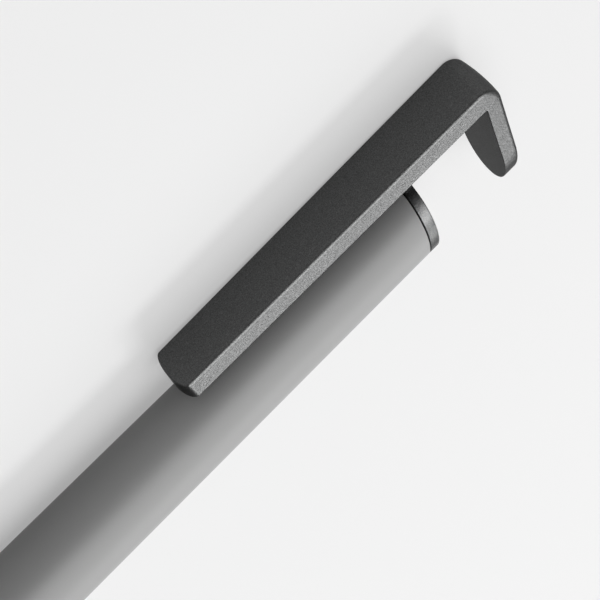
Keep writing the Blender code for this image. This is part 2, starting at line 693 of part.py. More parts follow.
def build_refill(metal, plastic, ink, grease, brass):
    tube = tube_points(TUBE_FRONT, TUBE_REAR, TUBE_INNER, REFILL_RADIUS)
    turned("refill_tube", tube, metal)
    plug_front = TUBE_REAR - PLUG_LENGTH
    plug = [
        (plug_front, 0.0),
        (plug_front, REFILL_CORE),
        (TUBE_REAR + FIT_GAP, REFILL_CORE),
        (TUBE_REAR + FIT_GAP, REFILL_RADIUS),
        (REFILL_REAR, REFILL_RADIUS),
        (REFILL_REAR, 0.0),
    ]
    turned("refill_plug", plug, plastic)
    tip_plug = TUBE_FRONT + TIP_PLUG_LENGTH
    follower_rear = plug_front - EMPTY_LENGTH
    follower_front = follower_rear - FOLLOWER_LENGTH
    for name, front, rear, material in (
        ("ink_column", tip_plug + FIT_GAP, follower_front - FIT_GAP, ink),
        ("ink_follower", follower_front, follower_rear, grease),
    ):
        turned(name, [(front, 0.0), (front, REFILL_CORE), (rear, REFILL_CORE), (rear, 0.0)], material)
    socket = BALL_RADIUS + BALL_PLAY
    tip = [
        (BALL_STATION + 2 * socket, 0.0),
        (BALL_STATION + socket, socket),
        (BALL_STATION, socket),
        (BALL_STATION, socket + SOCKET_RIM),
        (BALL_STATION + TIP_CONE_LENGTH, TIP_STEM_RADIUS),
        (TIP_FLANGE_FRONT, TIP_STEM_RADIUS),
        (TIP_FLANGE_FRONT, REFILL_RADIUS),
        (TUBE_FRONT - FIT_GAP, REFILL_RADIUS),
        (TUBE_FRONT - FIT_GAP, REFILL_CORE),
        (tip_plug, REFILL_CORE),
        (tip_plug, 0.0),
    ]
    turned("refill_tip", tip, brass)


def build_writing_ball(material):
    builder = bmesh.new()
    bmesh.ops.create_icosphere(builder, subdivisions=2, radius=BALL_RADIUS)
    make_object("writing_ball", builder, material, BALL_STATION)


def build_return_spring(material):
    """One unbroken helix from the nose cone's seat to the refill's shoulder."""
    inset = SPRING_WIRE_RADIUS + SPRING_END_GAP
    front = SPRING_SEAT + inset
    rear = TIP_FLANGE_FRONT - inset
    radius = TIP_STEM_RADIUS + RUN_GAP + SPRING_WIRE_RADIUS
    count = SPRING_TURNS * SPRING_STEPS
    points = []
    for step in range(count + 1):
        angle = math.tau * step / SPRING_STEPS
        x = front + (rear - front) * step / count
        points.append((x, radius * math.cos(angle), radius * math.sin(angle)))
    near_turns = []
    for step in range(count + 1 - SPRING_STEPS // 2):
        later = points[step + SPRING_STEPS // 2:]
        near_turns.append(min(math.dist(points[step], other) for other in later))
    print(f"return_spring: least gap to itself {(min(near_turns) - 2 * SPRING_WIRE_RADIUS) * 1000:.2f} mm")
    curve = bpy.data.curves.new("return_spring", "CURVE")
    curve.dimensions = "3D"
    curve.bevel_depth = SPRING_WIRE_RADIUS
    curve.bevel_resolution = 1
    curve.use_fill_caps = True
    spline = curve.splines.new("POLY")
    spline.points.add(count)
    for target, point in zip(spline.points, points):
        target.co = (*point, 1.0)
    curve.materials.append(material)
    lay_down(bpy.data.objects.new("return_spring", curve))


def main():
    for old in list(bpy.data.objects):
        bpy.data.objects.remove(old, do_unlink=True)
    satin_grey = make_material("satin_grey", (0.37, 0.37, 0.37), 0.45, 0.1)
    gun_metal = make_material("gun_metal", (0.12, 0.12, 0.125), 0.35, 0.85)
    steel = make_material("steel", (0.55, 0.55, 0.56), 0.3, 1.0)
    brass = make_material("brass", (0.7, 0.5, 0.22), 0.35, 1.0)
    black_plastic = make_material("black_plastic", (0.03, 0.03, 0.03), 0.5, 0.0)
    white_plastic = make_material("white_plastic", (0.7, 0.7, 0.68), 0.45, 0.0)
    rubber = make_material("rubber", (0.02, 0.02, 0.02), 0.8, 0.0)
    ink = make_material("ink", (0.01, 0.01, 0.02), 0.2, 0.0)
    grease = make_material("grease", (0.6, 0.55, 0.4), 0.3, 0.0)

    build_upper_barrel(satin_grey)
    build_stand_clip(gun_metal)
    build_clip_fastening(black_plastic, steel)
    build_cam_sleeve(white_plastic)
    build_guide_sleeve(white_plastic)
    build_retaining_ring(steel)
    build_plunger(black_plastic, steel)
    build_coupling(white_plastic, brass, rubber)
    build_lower_barrel(satin_grey, gun_metal)
    build_nose_cone(gun_metal)
    build_refill(steel, black_plastic, ink, grease, brass)
    build_writing_ball(steel)
    build_return_spring(steel)


main()
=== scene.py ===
"""Looks of a twist ballpoint pen whose clip hooks over to stand a phone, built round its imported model.

The file is laid out as an add-on. Sizes and colours are properties, each group of pieces has its operator,
and main() runs the operators in order. Pieces are shaped in the pen's own space, with stations along X
from the parting line, the axis on X and the clip on top, and are then laid down where the pen lies.
"""

import json
import math

import bmesh
import bpy
from bpy.props import FloatProperty, FloatVectorProperty, IntProperty, PointerProperty
from bpy.types import Operator, Panel, PropertyGroup
from mathutils import Matrix, Vector


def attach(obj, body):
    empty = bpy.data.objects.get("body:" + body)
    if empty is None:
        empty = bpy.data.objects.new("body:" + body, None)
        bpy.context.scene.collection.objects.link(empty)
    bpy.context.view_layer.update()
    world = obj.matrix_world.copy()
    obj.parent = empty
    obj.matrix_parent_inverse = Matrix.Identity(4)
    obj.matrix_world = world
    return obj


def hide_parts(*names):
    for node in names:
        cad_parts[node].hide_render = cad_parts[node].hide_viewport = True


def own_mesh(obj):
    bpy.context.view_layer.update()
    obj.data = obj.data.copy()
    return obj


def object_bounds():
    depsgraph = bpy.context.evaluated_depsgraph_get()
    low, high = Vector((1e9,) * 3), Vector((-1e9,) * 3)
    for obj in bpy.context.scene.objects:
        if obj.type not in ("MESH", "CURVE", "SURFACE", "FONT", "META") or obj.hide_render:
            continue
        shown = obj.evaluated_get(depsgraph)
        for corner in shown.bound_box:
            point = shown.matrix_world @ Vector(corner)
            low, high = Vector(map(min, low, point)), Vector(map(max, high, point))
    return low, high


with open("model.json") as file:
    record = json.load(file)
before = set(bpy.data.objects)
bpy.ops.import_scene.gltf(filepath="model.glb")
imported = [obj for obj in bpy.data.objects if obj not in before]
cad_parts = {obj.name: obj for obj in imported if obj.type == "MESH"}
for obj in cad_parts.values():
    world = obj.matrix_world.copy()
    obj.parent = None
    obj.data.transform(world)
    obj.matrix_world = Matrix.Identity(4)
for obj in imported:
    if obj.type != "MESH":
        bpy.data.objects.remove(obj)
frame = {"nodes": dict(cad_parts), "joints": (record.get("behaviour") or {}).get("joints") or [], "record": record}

CAD_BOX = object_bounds()

bl_info = {
    "name": "Ballpoint pen with phone stand",
    "version": (1, 0, 0),
    "blender": (4, 5, 0),
    "location": "View3D > Sidebar > Pen",
    "description": "Builds the looks of a twist ballpoint pen whose clip stands a phone",
    "category": "Object",
}

MERGE_DISTANCE = 1e-7
RIM_TOLERANCE = 10 * MERGE_DISTANCE
SHARP_ANGLE = math.radians(50)

# Steps over a turned piece's rounded rim, and round a ball or the clip's rounded rib
RIM_STEPS = 5
BALL_SIDES = 48

# Camera: sensor in millimetres, nearest and farthest distance in metres
SENSOR_WIDTH = 36.0
CAMERA_NEAR = 0.01
CAMERA_FAR = 20.0

# Lamps: places and sizes in metres, power in watts
LAMP_AIM = (0.02, 0.0, 0.005)
LAMPS = (
    {"name": "top_lamp", "place": (0.02, 0.06, 1.0), "size": (1.25, 1.25), "power": 6.5},
    {"name": "far_lamp", "place": (0.02, -0.62, 0.79), "size": (0.56, 0.2), "power": 3.8},
    {"name": "low_lamp", "place": (0.02, -0.85, 0.53), "size": (1.2, 0.4), "power": 2.1},
    {"name": "hook_lamp", "place": (0.9, -0.35, 0.55), "size": (1.0, 0.9), "power": 1.4},
)

# Joints of the imported model
JOINTS = {joint["name"]: joint for joint in frame["joints"]}

# Where the pen lies: the twist's point is on its axis, and the clip's flat face says how far it has rolled
CLIP_FACE = next(mount for mount in frame["record"]["mounts"] if mount["name"] == "stand_base")
ROLL = math.atan2(CLIP_FACE["axis"][1], CLIP_FACE["axis"][2])
LYING = Matrix.Translation(JOINTS["twist"]["pos_m"]) @ Matrix.Rotation(-ROLL, 4, "X")


def length(name, description, default):
    return FloatProperty(name=name, description=description, default=default, unit="LENGTH", precision=5)


def angle(name, description, degrees):
    return FloatProperty(
        name=name, description=description, default=math.radians(degrees), subtype="ANGLE", unit="ROTATION",
    )


def number(name, description, default, low=0.0):
    return FloatProperty(name=name, description=description, default=default, min=low)


def factor(name, description, default):
    return FloatProperty(
        name=name, description=description, default=default, min=0.0, max=1.0, subtype="FACTOR",
    )


def count(name, description, default, low, high):
    return IntProperty(name=name, description=description, default=default, min=low, max=high)


def colour(name, description, grey, tint=(1.0, 1.0, 1.0)):
    default = [grey * part for part in tint]
    return FloatVectorProperty(
        name=name, description=description, default=default, size=3, min=0.0, max=1.0, subtype="COLOR",
    )


class PenBarrelSizes(PropertyGroup):
    upper_length: length("Upper length", "Parting line to the middle of the slanted end", 0.06879)
    widest_radius: length("Widest radius", "Upper barrel's radius behind its shoulder", 0.00569)
    rear_radius: length("Rear radius", "Upper barrel's radius at its slanted end", 0.00516)
    shoulder_length: length("Shoulder length", "Curved front of the upper barrel", 0.0012)
    shoulder_drop: length("Shoulder drop", "How far the shoulder comes in", 0.00084)
    shoulder_ease: number("Shoulder ease", "How late the shoulder's curve comes in", 2.0, low=1.0)
    shoulder_steps: count("Shoulder steps", "Steps along the shoulder", 16, low=2, high=40)
    upper_bore: length("Upper bore", "Radius inside the upper barrel", 0.00415)
    rear_bore: length("Rear bore", "Radius of the hole that takes the clip's spigot", 0.00355)
    ledge: length("Ledge", "Station where the bore narrows", 0.06269)
    end_slant: angle("End slant", "Lean of the barrel's rear end", 17.0)
    edge_round: length("Edge round", "Rounding of the barrel's rims", 0.00008)
    lower_rear: length("Lower rear", "Station of the lower barrel's rear face", -0.00175)
    lower_front: length("Lower front", "Station of the lower barrel's front face", -0.03795)
    lower_rear_radius: length("Lower rear radius", "Lower barrel's radius by the parting ring", 0.00482)
    lower_front_radius: length("Lower front radius", "Lower barrel's radius by the nose cone", 0.00435)
    lower_rear_round: length("Lower rear round", "Rounding of the lower barrel's rear rim", 0.0004)
    lower_bore: length("Lower bore", "Radius inside the lower barrel", 0.0028)
    coupling_hole: length("Coupling hole", "Radius of the hole round the coupling", 0.00335)
    coupling_step: length("Coupling step", "Station where the coupling hole ends", -0.01075)
    ring_radius: length("Parting ring radius", "Radius of the ring between the halves", 0.00465)
    ring_rear: length("Parting ring rear", "Station of the parting ring's rear face", -0.00012)
    ring_front: length("Parting ring front", "Station of the parting ring's front face", -0.0017)
    sides: count("Sides", "Steps round the barrels, the rings and the nose cone", 160, low=24, high=360)


class PenClipSizes(PropertyGroup):
    bar_top: length("Bar top", "Height of the bar's flat face over the axis at the barrel's end", 0.00999)
    bar_thickness: length("Bar thickness", "Thickness of the bar", 0.00252)
    lip_thickness: length("Lip thickness", "Thickness of the lip", 0.0023)
    bar_forward: length("Bar forward", "How far the bar runs forward of the barrel's end", 0.03388)
    bar_rise: angle("Bar rise", "Lean of the bar away from the barrel towards the hook", 0.58)
    free_width: length("Free width", "Bar's width at its free end", 0.00794)
    hook_width: length("Hook width", "Bar's width at the bend", 0.0088)
    free_end_round: length("Free end round", "Depth of the free end's bow", 0.0011)
    free_end_draft: length("Free end draft", "How far the free end's lower edge stands out", 0.0003)
    slot: length("Phone slot", "Room between the end ring and the lip, along the bar", 0.01166)
    lip_slant: angle("Lip slant", "Lean of the lip towards the barrel", 18.2)
    lip_radius: length("Lip radius", "Radius of the lip's round end, about the axis", 0.00488)
    bend_radius: length("Bend radius", "Outer radius of the bend", 0.00215)
    inner_bend_radius: length("Inner bend radius", "Inner radius of the bend", 0.00015)
    crown: length("Hook crown", "Bulge of the hook's outer face", 0.0003)
    outer_round: length("Outer round", "Rounding of the edges of the clip's outer face", 0.0006)
    inner_round: length("Inner round", "Rounding of the edges of the clip's inner face", 0.00012)
    ring_front: length("End ring front", "Station of the end ring's front face on the axis", 0.06894)
    ring_width: length("End ring width", "Width of the end ring's band", 0.00142)
    ring_round: length("End ring round", "Rounding of the end ring's rear edge", 0.00015)
    spigot_radius: length("Spigot radius", "Radius of the spigot in the barrel", 0.0034)
    spigot_length: length("Spigot length", "Length of the spigot in the barrel", 0.0061)
    screw_hole: length("Screw hole", "Radius of the hole for the clip's screw", 0.00115)
    screw_wall: length("Screw wall", "Depth left between the screw's hole and the ring's front", 0.0017)
    neck_foot_width: length("Neck foot width", "Width of the neck where it leaves the ring", 0.0034)
    neck_head_width: length("Neck head width", "Width of the neck under the bar", 0.0070)
    neck_inset: length("Neck inset", "How far the neck stays in from the ring's faces", 0.00008)
    neck_sink: length("Neck sink", "How deep the neck starts in the ring", 0.0010)
    neck_round: length("Neck round", "Rounding of the neck's upright edges", 0.0002)
    nub_length: length("Nub length", "Length of the rib that holds a pocket's edge", 0.0040)
    nub_width: length("Nub width", "Width of the rib that holds a pocket's edge", 0.0026)
    nub_from_end: length("Nub from end", "Distance of the rib from the bar's free end", 0.0036)
    nub_gap: length("Nub gap", "Room between the rib and the barrel", 0.0003)
    end_sides: count("End sides", "Steps round the clip's two ends", 128, low=24, high=256)
    columns: count("Columns", "Cuts along the clip", 11, low=1, high=40)
    bar_parts: count("Bar parts", "Parts that the cuts across the bar leave", 6, low=1, high=20)
    bend_steps: count("Bend steps", "Steps round the bend", 24, low=6, high=60)
    lip_parts: count("Lip parts", "Parts that the cuts across the lip leave", 8, low=1, high=20)
    round_steps: count("Round steps", "Steps over the clip's rounded edges", 6, low=1, high=12)
    neck_round_steps: count("Neck round steps", "Steps over the neck's rounded edges", 4, low=1, high=12)


class PenNoseSizes(PropertyGroup):
    rear: length("Rear", "Station of the nose cone's rear face", -0.0381)
    cone_length: length("Length", "Length of the nose cone", 0.0200)
    rear_radius: length("Rear radius", "Nose cone's radius by the barrel", 0.00427)
    mouth_radius: length("Mouth radius", "Nose cone's radius at its mouth", 0.00165)
    fullness: number("Fullness", "How full the cone's curve is", 1.6, low=1.0)
    hole_radius: length("Hole radius", "Radius of the tip's hole", 0.00125)
    bore_radius: length("Bore radius", "Radius of the refill's room", 0.0020)
    seat: length("Spring seat", "Station of the shoulder that carries the spring", -0.0506)
    spigot_radius: length("Spigot radius", "Radius of the screwed spigot", 0.00265)
    spigot_length: length("Spigot length", "Length of the screwed spigot", 0.0050)
    edge_round: length("Edge round", "Rounding of the cone's rims", 0.00008)
    steps: count("Steps", "Steps along the cone's curve", 28, low=6, high=80)
    ball_station: length("Ball station", "Station of the writing ball", -0.0558)
    ball_radius: length("Ball radius", "Radius of the writing ball", 0.0005)
    socket_radius: length("Socket radius", "Radius of the ball's socket", 0.00058)
    socket_rim: length("Socket rim", "Wall of the socket at its mouth", 0.0002)
    tip_cone: length("Tip cone", "Length of the writing tip's cone", 0.0028)
    stem_radius: length("Stem radius", "Radius of the writing tip's stem", 0.00095)
    flange_front: length("Flange front", "Station of the shoulder that the spring pushes on", -0.0425)
    flange_rear: length("Flange rear", "Station of the shoulder's rear face", -0.0417)
    flange_radius: length("Flange radius", "Radius of the shoulder", 0.0017)
    core_radius: length("Core radius", "Radius of the tip inside the refill's tube", 0.0012)
    core_rear: length("Core rear", "Station of the tip's end in the tube", -0.03805)
    tip_sides: count("Tip sides", "Steps round the writing tip", 64, low=24, high=160)
    spring_wire: length("Spring wire", "Radius of the return spring's wire", 0.0002)
    spring_room: length("Spring room", "Room between the spring and the tip's stem", 0.0003)
    spring_end_gap: length("Spring end gap", "Room at each end of the spring", 0.0001)
    spring_turns: count("Spring turns", "Turns of the spring", 6, low=2, high=20)
    spring_steps: count("Spring steps", "Steps in a turn of the spring", 32, low=8, high=96)
    spring_wire_sides: count("Spring wire sides", "Steps round the spring's wire", 16, low=6, high=48)


class PenFinishes(PropertyGroup):
    lacquer: colour("Satin lacquer", "Grey of the two barrels", 0.365)
    gun_metal: colour("Gun metal", "Dark grey of the clip's bar", 0.08, (0.99, 1.0, 1.0))
    turned_metal: colour("Turned gun metal", "Darker grey of the rings and the nose", 0.075, (0.99, 1.0, 1.0))
    steel: colour("Steel", "Spring, pins, refill tube and ball", 0.58, (0.99, 1.0, 1.01))
    brass: colour("Brass", "Coupling and writing tip", 0.70, (1.0, 0.72, 0.33))
    black_plastic: colour("Black plastic", "Plugs and plunger", 0.03)
    white_plastic: colour("White plastic", "Sleeves and bush", 0.70, (1.0, 1.0, 0.97))
    rubber: colour("Rubber", "Friction ring", 0.02)
    ink: colour("Ink", "Ink column", 0.012, (0.8, 0.85, 1.5))
    grease: colour("Grease", "Follower behind the ink", 0.60, (1.0, 0.92, 0.67))


class PenStage(PropertyGroup):
    floor_grey: colour("Floor", "Pale floor and background", 0.885)
    floor_reach: length("Floor reach", "How far the floor runs to each side", 4.0)
    shadow_softening: factor("Shadow softening", "Share of even glow in the floor", 0.42)
    bounce_cut: factor("Bounce cut", "How much less light the floor throws back up", 0.52)
    ambient: number("Ambient", "Strength of the surroundings as light", 0.14)
    backdrop: number("Backdrop", "Strength of the surroundings as seen and reflected", 0.35)
    overhead: number("Overhead", "How much paler the surroundings are overhead", 10.0)
    overhead_focus: number("Overhead focus", "How narrow the paler part overhead is", 12.0, low=1.0)
    overhead_lean: angle("Overhead lean", "How far the paler part leans towards the clip's side", 15.0)
    behind: number("Behind", "How much paler the surroundings are behind the pen", 0.6)
    behind_focus: number("Behind focus", "How narrow the paler part behind the pen is", 3.0, low=1.0)
    behind_height: angle("Behind height", "How high the paler part behind the pen is", 28.0)
    camera_tilt: angle("Camera tilt", "Lean of the view from the clip's flat face", 44.39)
    camera_turn: angle("Camera turn", "Small turn of the pen from the picture's diagonal", 0.31)
    camera_distance: length("Camera distance", "Camera to the point that it looks at", 0.450)
    focal_length: FloatProperty(
        name="Focal length", description="Focal length of the lens", default=222.0, min=1.0, unit="CAMERA",
    )
    look_station: length("Look station", "Station that the camera looks at", 0.05252)
    look_side: length("Look side", "Side offset of the point that the camera looks at", 0.00132)
    look_height: length("Look height", "Height over the axis of the point that the camera looks at", 0.0013)


class Signal:
    """A shader value. Arithmetic on it adds Math nodes, and make() adds any other node to the same tree."""

    def __init__(self, tree, socket=None):
        self.tree = tree
        self.socket = socket

    def make(self, kind, settings=None, inputs=None, output=0):
        """Add a node, set it up first, and then give its sockets their values or links."""
        node = self.tree.nodes.new(kind)
        for name, value in (settings or {}).items():
            if name == "stops":
                set_stops(node.color_ramp, value)
            else:
                setattr(node, name, value)
        for name, value in (inputs or {}).items():
            if isinstance(value, Signal):
                self.tree.links.new(value.socket, node.inputs[name])
            else:
                node.inputs[name].default_value = value
        return Signal(self.tree, node.outputs[output])

    def maths(self, operation, first, second):
        return self.make("ShaderNodeMath", {"operation": operation}, {0: first, 1: second})

    def __add__(self, other):
        return self.maths("ADD", self, other)

    def __radd__(self, other):
        return self.maths("ADD", other, self)

    def __sub__(self, other):
        return self.maths("SUBTRACT", self, other)

    def __rsub__(self, other):
        return self.maths("SUBTRACT", other, self)

    def __mul__(self, other):
        return self.maths("MULTIPLY", self, other)

    def __rmul__(self, other):
        return self.maths("MULTIPLY", other, self)


def set_stops(ramp, stops):
    while len(ramp.elements) < len(stops):
        ramp.elements.new(0.5)
    for element, (position, grey) in zip(ramp.elements, stops):
        element.position = position
        element.color = (grey, grey, grey, 1.0)


def new_material(name):
    """An empty Principled material: its shader, and a Signal with the piece's own coordinates."""
    material = bpy.data.materials.new(name)
    material.use_nodes = True
    tree = material.node_tree
    shader = tree.nodes["Principled BSDF"]
    place = Signal(tree).make("ShaderNodeTexCoord", output="Object")
    return material, shader, place


def feed(shader, **signals):
    """Link signals to the shader's sockets, with _ in a name for a space."""
    for name, signal in signals.items():
        signal.tree.links.new(signal.socket, shader.inputs[name.replace("_", " ")])


def noise(place, scale, detail=2.0, roughness=0.5):
    inputs = {"Vector": place, "Scale": scale, "Detail": detail, "Roughness": roughness}
    return place.make("ShaderNodeTexNoise", {"noise_dimensions": "3D"}, inputs, output="Fac")


def shade_of(place, grey_colour, strength):
    """The finish's colour, lighter or darker as strength says around 1."""
    inputs = {"Vector": tuple(grey_colour), "Scale": strength}
    return place.make("ShaderNodeVectorMath", {"operation": "SCALE"}, inputs)


def bump(place, height, strength, distance):
    inputs = {"Strength": strength, "Distance": distance, "Height": height}
    return place.make("ShaderNodeBump", None, inputs, "Normal")


def drawn_out(place, scale):
    """Coordinates scaled unevenly, so that noise on them makes lines."""
    return place.make("ShaderNodeMapping", None, {"Vector": place, "Scale": scale}, "Vector")


def satin_lacquer(finishes):
    """Even satin coat with a very fine tooth and a faint cloudiness."""
    material, shader, place = new_material("satin_lacquer")
    cloud = noise(place, scale=60.0, detail=3.0)
    tooth = noise(place, scale=9000.0, detail=1.0)
    feed(
        shader,
        Base_Color=shade_of(place, finishes.lacquer, 0.97 + cloud * 0.04 + tooth * 0.02),
        Roughness=0.43 + tooth * 0.06,
        Normal=bump(place, tooth, strength=0.12, distance=0.00002),
    )
    shader.inputs["Specular IOR Level"].default_value = 0.25
    return material


def gun_metal_coat(name, grey, roughness, relief, edge_tint):
    """Dark metallic coat with bright flakes about a tenth of a millimetre across."""
    material, shader, place = new_material(name)
    flakes = noise(place, scale=7000.0, roughness=0.6)
    grit = noise(place, scale=16000.0, detail=1.0)
    glint = flakes.make("ShaderNodeValToRGB", {"stops": ((0.35, 0.0), (0.75, 1.0))}, {"Fac": flakes})
    feed(
        shader,
        Base_Color=shade_of(place, grey, 0.65 + glint * 0.75 + grit * 0.1),
        Roughness=roughness - glint * 0.06,
        Normal=bump(place, flakes * 0.7 + grit * 0.3, strength=relief, distance=0.00004),
    )
    shader.inputs["Metallic"].default_value = 0.85
    shader.inputs["Specular Tint"].default_value = (edge_tint, edge_tint, edge_tint, 1.0)
    return material


def grained_gun_metal(finishes):
    """The coat on the clip's bar, with a plain grain."""
    return gun_metal_coat(
        "grained_gun_metal", finishes.gun_metal, roughness=0.36, relief=0.85, edge_tint=0.42,
    )


def fine_gun_metal(finishes):
    """The coat on the turned rings and the nose, smoother than the bar's."""
    return gun_metal_coat(
        "fine_gun_metal", finishes.turned_metal, roughness=0.27, relief=1.0, edge_tint=0.8,
    )


def drawn_steel(finishes):
    """Bright metal with fine lines along the pen."""
    material, shader, place = new_material("drawn_steel")
    lines = noise(drawn_out(place, (400.0, 9000.0, 9000.0)), scale=1.0)
    feed(
        shader,
        Base_Color=shade_of(place, finishes.steel, 0.9 + lines * 0.2),
        Roughness=0.22 + lines * 0.16,
        Normal=bump(place, lines, strength=0.1, distance=0.00001),
    )
    shader.inputs["Metallic"].default_value = 1.0
    return material


def turned_brass(finishes):
    """Yellow metal with fine tool marks round the pen's axis."""
    material, shader, place = new_material("turned_brass")
    marks = noise(drawn_out(place, (12000.0, 300.0, 300.0)), scale=1.0)
    feed(
        shader,
        Base_Color=shade_of(place, finishes.brass, 0.88 + marks * 0.24),
        Roughness=0.24 + marks * 0.16,
        Normal=bump(place, marks, strength=0.12, distance=0.00001),
    )
    shader.inputs["Metallic"].default_value = 1.0
    return material


def moulded(name, plain_colour, roughness):
    """Plain moulded surface with a faint texture from its tool."""
    material, shader, place = new_material(name)
    skin = noise(place, scale=3500.0)
    feed(
        shader,
        Base_Color=shade_of(place, plain_colour, 0.94 + skin * 0.12),
        Roughness=roughness - 0.06 + skin * 0.12,
        Normal=bump(place, skin, strength=0.15, distance=0.00002),
    )
    return material


def build_object(name, mesh):
    """Lay a bmesh down where the pen lies and make it a smooth-shaded object at the origin."""
    bmesh.ops.transform(mesh, matrix=LYING, verts=mesh.verts)
    data = bpy.data.meshes.new(name)
    mesh.to_mesh(data)
    mesh.free()
    data.shade_smooth()
    data.set_sharp_from_angle(angle=SHARP_ANGLE)
    piece = bpy.data.objects.new(name, data)
    bpy.context.scene.collection.objects.link(piece)
    shading = piece.modifiers.new("even_shading", "WEIGHTED_NORMAL")
    shading.keep_sharp = True
    return piece


def dress(piece, material, body, node):
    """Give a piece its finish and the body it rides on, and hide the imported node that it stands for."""
    piece.data.materials.append(material)
    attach(piece, body)
    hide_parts(node)


def finish_named(name, maker, finishes):
    """The material of that name, made once."""
    return bpy.data.materials.get(name) or maker(finishes)


def soften(mesh, edges, size, segments):
    bmesh.ops.bevel(
        mesh, geom=edges, offset=size, offset_type="OFFSET", segments=segments, profile=0.5,
        affect="EDGES", clamp_overlap=True, material=-1,
    )


def turned(corners, sides):
    """Spin corners (station, radius, edge round) round the pen's axis and round the edges that ask for it."""
    mesh = bmesh.new()
    verts = [mesh.verts.new((station, 0.0, radius)) for station, radius, _ in corners]
    path = list(verts)
    if min(radius for _, radius, _ in corners) > 0:
        path.append(verts[0])
    edges = [mesh.edges.new(pair) for pair in zip(path, path[1:])]
    bmesh.ops.spin(
        mesh, geom=verts + edges, cent=(0, 0, 0), axis=(1, 0, 0), angle=math.tau, steps=sides, use_merge=True,
    )
    bmesh.ops.remove_doubles(mesh, verts=mesh.verts, dist=MERGE_DISTANCE)
    bmesh.ops.recalc_face_normals(mesh, faces=mesh.faces)
    for station, radius, edge_round in corners:
        if edge_round > 0:
            soften(mesh, rim(mesh, station, radius), edge_round, RIM_STEPS)
    return mesh


def rim(mesh, station, radius):
    """Edges of the circle at this station and radius."""
    def on_circle(vert):
        off = abs(vert.co.x - station) + abs(math.hypot(vert.co.y, vert.co.z) - radius)
        return off < RIM_TOLERANCE
    return [edge for edge in mesh.edges if all(on_circle(vert) for vert in edge.verts)]


def lean_end(mesh, slant, station):
    """Shear what lies past the station, so that the end leans with the slant."""
    lean = Matrix.Identity(4)
    lean[0][2] = math.tan(slant)
    bmesh.ops.transform(mesh, matrix=lean, verts=[vert for vert in mesh.verts if vert.co.x >= station])


